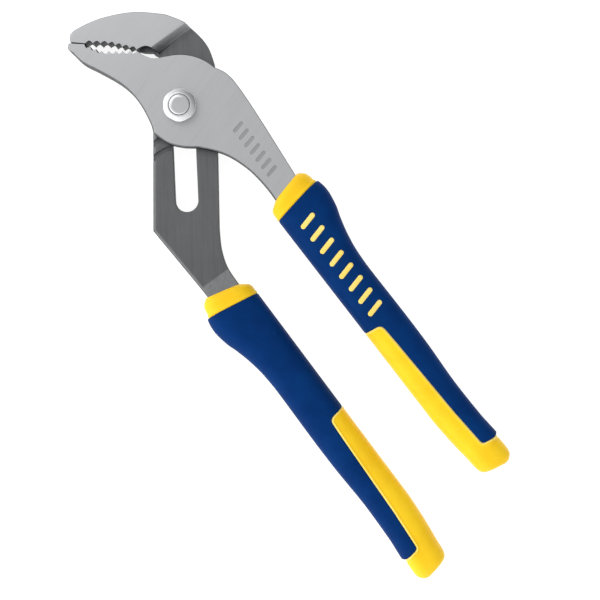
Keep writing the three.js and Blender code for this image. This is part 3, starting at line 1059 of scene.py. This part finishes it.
def roundedBorder():
    corners = gripShape["border"]
    path = []
    count = len(corners)
    for index, (x, y, radius) in enumerate(corners):
        corner = Vector((x, y))
        if not radius:
            path.append(corner)
            continue
        before = Vector(corners[index - 1][:2]) - corner
        after = Vector(corners[(index + 1) % count][:2]) - corner
        half = before.angle(after) / 2
        reach = radius / math.tan(half)
        start = corner + before.normalized() * reach
        end = corner + after.normalized() * reach
        for step in range(9):
            share = step / 8
            path.append(start.lerp(corner, share).lerp(corner.lerp(end, share), share))
    return np.array(path)


def borderDistance(points):
    # millimetres to the colour border: below zero inside the outer colour
    path = roundedBorder()
    spots = points[:, :2]
    best = np.full(len(spots), 1e9)
    for start, end in zip(path, np.roll(path, -1, axis=0)):
        along = end - start
        share = np.clip(((spots - start) @ along) / (along @ along), 0, 1)
        best = np.minimum(best, np.linalg.norm(spots - start - share[:, None] * along, axis=1))
    return np.where(insideLoop(path, spots), -best, best)


def cutAtLevel(points, faces, values, cutValue):
    # cuts each triangle that crosses the level, so that an edge runs along it
    above = values > cutValue
    mixed = above[faces].any(axis=1) & ~above[faces].all(axis=1)
    made = {}
    morePoints, moreValues, newFaces = [], [], []

    def between(a, b):
        key = (min(a, b), max(a, b))
        if key not in made:
            share = (cutValue - values[a]) / (values[b] - values[a])
            made[key] = len(points) + len(morePoints)
            morePoints.append(points[a] + (points[b] - points[a]) * share)
            moreValues.append(cutValue)
        return made[key]

    for triangle in faces[mixed]:
        flags = above[triangle]
        lone = int(np.argmax(flags)) if flags.sum() == 1 else int(np.argmin(flags))
        a, b, c = (int(triangle[(lone + turn) % 3]) for turn in range(3))
        ab, ac = between(a, b), between(a, c)
        newFaces.extend([(a, ab, ac), (ab, b, c), (ab, c, ac)])
    return (
        np.vstack([points, morePoints]),
        np.vstack([faces[~mixed], newFaces]),
        np.concatenate([values, moreValues]),
    )


def skinNormals(points, faces):
    a, b, c = (points[faces[:, corner]] for corner in range(3))
    flat = np.cross(b - a, c - a)
    normals = np.zeros_like(points)
    for corner in range(3):
        np.add.at(normals, faces[:, corner], flat)
    return normals / np.maximum(np.linalg.norm(normals, axis=1, keepdims=True), 1e-12)


def seamOffset(values, outerColour):
    # both colours dip at their border, and the inner colour stands up in a soft lip beside it
    seam, width = gripShape["seam"], gripShape["lipWidth"]
    reach = np.abs(values)
    dip = -seam * np.clip(1 - reach / gripShape["dipWidth"], 0, 1) ** 2
    if outerColour:
        return dip
    lip = gripShape["lip"] * np.sin(np.pi * np.clip(reach / width, 0, 1)) ** 2
    return dip + lip


def toFrame(handle, points):
    along, across = handleAxes(handle)
    x = handle["x"] + points[:, 0] * along.x + points[:, 1] * across.x
    y = handle["y"] + points[:, 0] * along.y + points[:, 1] * across.y
    z = np.maximum(points[:, 2], gripShape["lowest"])
    return np.stack([x, y, z], axis=1)


def hollowShell(outside, inside, faces):
    # closes a piece of skin with an inner face and a wall along its open edges
    count = len(outside)
    edges = {}
    for a, b, c in faces:
        for edge in ((a, b), (b, c), (c, a)):
            edges[edge] = True
    walls = []
    for a, b in edges:
        if (b, a) not in edges:
            walls.extend([(a, a + count, b), (b, a + count, b + count)])
    points = np.vstack([outside, inside])
    return points, np.vstack([faces, faces[:, ::-1] + count, walls])


def dividedGrip():
    points, faces = gripSkin()
    values = borderDistance(points) + 1e-7
    for seamLevel in gripShape["seamLevels"]:
        points, faces, values = cutAtLevel(points, faces, values, seamLevel)
    normals = skinNormals(points, faces)
    middle = values[faces].mean(axis=1)
    halves = {}
    for colour, chosen in (("blue", faces[middle < 0]), ("yellow", faces[middle > 0])):
        outside = points + normals * seamOffset(values, colour == "blue")[:, None]
        inside = points - normals * gripShape["wall"]
        used, compact = np.unique(chosen, return_inverse=True)
        compact = compact.reshape(-1, 3)
        down = points[chosen][:, :, 0].mean(axis=1)
        # painted highlight: inner-colour faces close to the border, past the collar, get the pale rib colour
        pale = (values[chosen].mean(axis=1) < gripShape["lipHighlightWidth"]) & (down > gripShape["lipHighlightFrom"])
        halves[colour] = (*hollowShell(outside[used], inside[used], compact), pale)
    return halves


def makeGrip(side, body, halves):
    handle = forging[side + "Handle"]
    for colour, part in (("blue", "grip_cover"), ("yellow", "grip_core")):
        points, faces, pale = halves[colour]
        facing = faces if handle["side"] > 0 else faces[:, ::-1]
        skin = meshObject(side + "_" + part + "_skin", toFrame(handle, points).tolist(), facing.tolist())
        skin.data.materials.append(materials[colour])
        if colour == "yellow":
            # the inner colour is painted pale where it laps up against the outer one: a painted highlight
            # along its raised lip
            skin.data.materials.append(materials["ribAndLipHighlight"])
            for index in np.flatnonzero(pale):
                skin.data.polygons[int(index)].material_index = 1
        smoothShading(skin, 50)
        finishPiece(skin, body, colour + "_rubber", side + "_" + part)


# generic raised ribs on the front handle's outer colour
ribShape = {
    "first": 5.5, "pitch": 6.1, "count": 8, "long": 7.6, "wide": 2.0, "out": 9.0, "slant": 14, "around": 28,
    # from the foot in the skin to the top, as (size, height above the skin)
    "rows": ((1.0, -0.5), (1.0, 0.12), (0.9, 0.3), (0.7, 0.38), (0.35, 0.4)),
}


def ribMesh(index, verts, faces):
    down = ribShape["first"] + ribShape["pitch"] * index
    rows = ribShape["rows"]
    around = ribShape["around"]
    start = len(verts)
    lean = math.radians(90 + ribShape["slant"])
    along = Vector((math.cos(lean), math.sin(lean)))
    side = Vector((-along.y, along.x))
    radius = ribShape["wide"] / 2
    straight = ribShape["long"] / 2 - radius
    for size, rise in rows:
        for step in range(around):
            angle = 2 * math.pi * (step + 0.5) / around
            end = straight if math.cos(angle) > 0 else -straight
            spot = along * (end + radius * size * math.cos(angle)) + side * radius * size * math.sin(angle)
            spotDown, spotOut = down + spot.x, ribShape["out"] + spot.y
            verts.append((spotDown, spotOut, float(gripTop(spotDown, spotOut)) + rise))
    faces.extend(ringQuads(len(rows), around, start))
    faces.append(tuple(start + (len(rows) - 1) * around + step for step in range(around)))
    faces.append(tuple(start + step for step in reversed(range(around))))


def makeRibs():
    verts, faces = [], []
    for index in range(ribShape["count"]):
        ribMesh(index, verts, faces)
    placed = toFrame(forging["frontHandle"], np.array(verts)).tolist()
    ribs = meshObject("front_grip_ribs", placed, faces)
    ribs.data.materials.append(materials["ribAndLipHighlight"])
    smoothShading(ribs, 50)
    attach(ribs, "front_lever")


gripHalves = dividedGrip()
makeGrip("rear", "rear_lever", gripHalves)
makeGrip("front", "front_lever", gripHalves)
makeRibs()
print("grips ready")


# floor and light
studio = {
    "floorSize": 3.0, "floorTone": 0.42, "floorGlow": 0.84, "floorDrop": 0.05,
    # brightness of the sky, as (share of the way up, brightness); the ramp holds it divided by skyRange
    "sky": [(0.0, 1.35), (0.25, 1.35), (0.4, 1.15), (0.65, 1.15), (0.9, 0.745)], "skyRange": 2.0,
    "shadeSide": (0.88, 0.47), "shadeDepth": 0.9,
    "keyPower": 1.2, "keySize": 0.8, "keyPlace": (-0.35, 0.5, 0.8),
}


def makeFloor():
    half = studio["floorSize"] / 2 / mm
    low = -studio["floorDrop"]
    corners = [(-half, -half, low), (half, -half, low), (half, half, low), (-half, half, low)]
    floor = meshObject("floor", corners, [(0, 1, 2, 3)])
    material, tree, shader = newMaterial("pale floor")
    clouds = noiseAt(tree, 6, detail=2)
    tone = studio["floorTone"]
    paper = mixColour(tree, clouds, (tone - 0.01,) * 3, (tone + 0.01,) * 3)
    tree.links.new(paper, shader.inputs["Base Color"])
    shader.inputs["Roughness"].default_value = 0.9
    shader.inputs["Specular IOR Level"].default_value = 0.1
    shader.inputs["Emission Color"].default_value = (1, 1, 1, 1)
    shader.inputs["Emission Strength"].default_value = studio["floorGlow"]
    floor.data.materials.append(material)


def makeSky():
    world = bpy.data.worlds.new("soft room")
    bpy.context.scene.world = world
    world.use_nodes = True
    tree = world.node_tree
    tree.nodes.clear()
    direction = node(tree, "ShaderNodeTexCoord")
    split = node(tree, "ShaderNodeSeparateXYZ")
    tree.links.new(direction.outputs["Generated"], split.inputs["Vector"])
    full = studio["skyRange"]
    tone = ramp(tree, split.outputs["Z"], [(height, bright / full) for height, bright in studio["sky"]])
    shadeX, shadeY = studio["shadeSide"]
    across = mathNode(tree, "ADD", mathNode(tree, "MULTIPLY", split.outputs["X"], shadeX),
                      mathNode(tree, "MULTIPLY", split.outputs["Y"], shadeY))
    lowDown = mathNode(tree, "SUBTRACT", 1.0, mathNode(tree, "POWER", split.outputs["Z"], 2.0))
    depth = mathNode(tree, "MULTIPLY", lowDown, studio["shadeDepth"])
    shaded = mathNode(tree, "SUBTRACT", 1.0, mathNode(tree, "MULTIPLY", across, depth))
    background = node(tree, "ShaderNodeBackground")
    output = node(tree, "ShaderNodeOutputWorld")
    tree.links.new(tone, background.inputs["Color"])
    tree.links.new(mathNode(tree, "MULTIPLY", shaded, full), background.inputs["Strength"])
    tree.links.new(background.outputs["Background"], output.inputs["Surface"])


def makeKeyLight():
    lamp = bpy.data.lights.new("key", "AREA")
    lamp.energy = studio["keyPower"]
    lamp.size = studio["keySize"]
    key = bpy.data.objects.new("key", lamp)
    key.location = studio["keyPlace"]
    middle = (cadBox[0] + cadBox[1]) / 2
    key.rotation_euler = (middle - key.location).to_track_quat("-Z", "Y").to_euler()
    bpy.context.scene.collection.objects.link(key)


makeFloor()
makeSky()
makeKeyLight()
bpy.context.scene.view_settings.view_transform = "Standard"
print("studio ready")
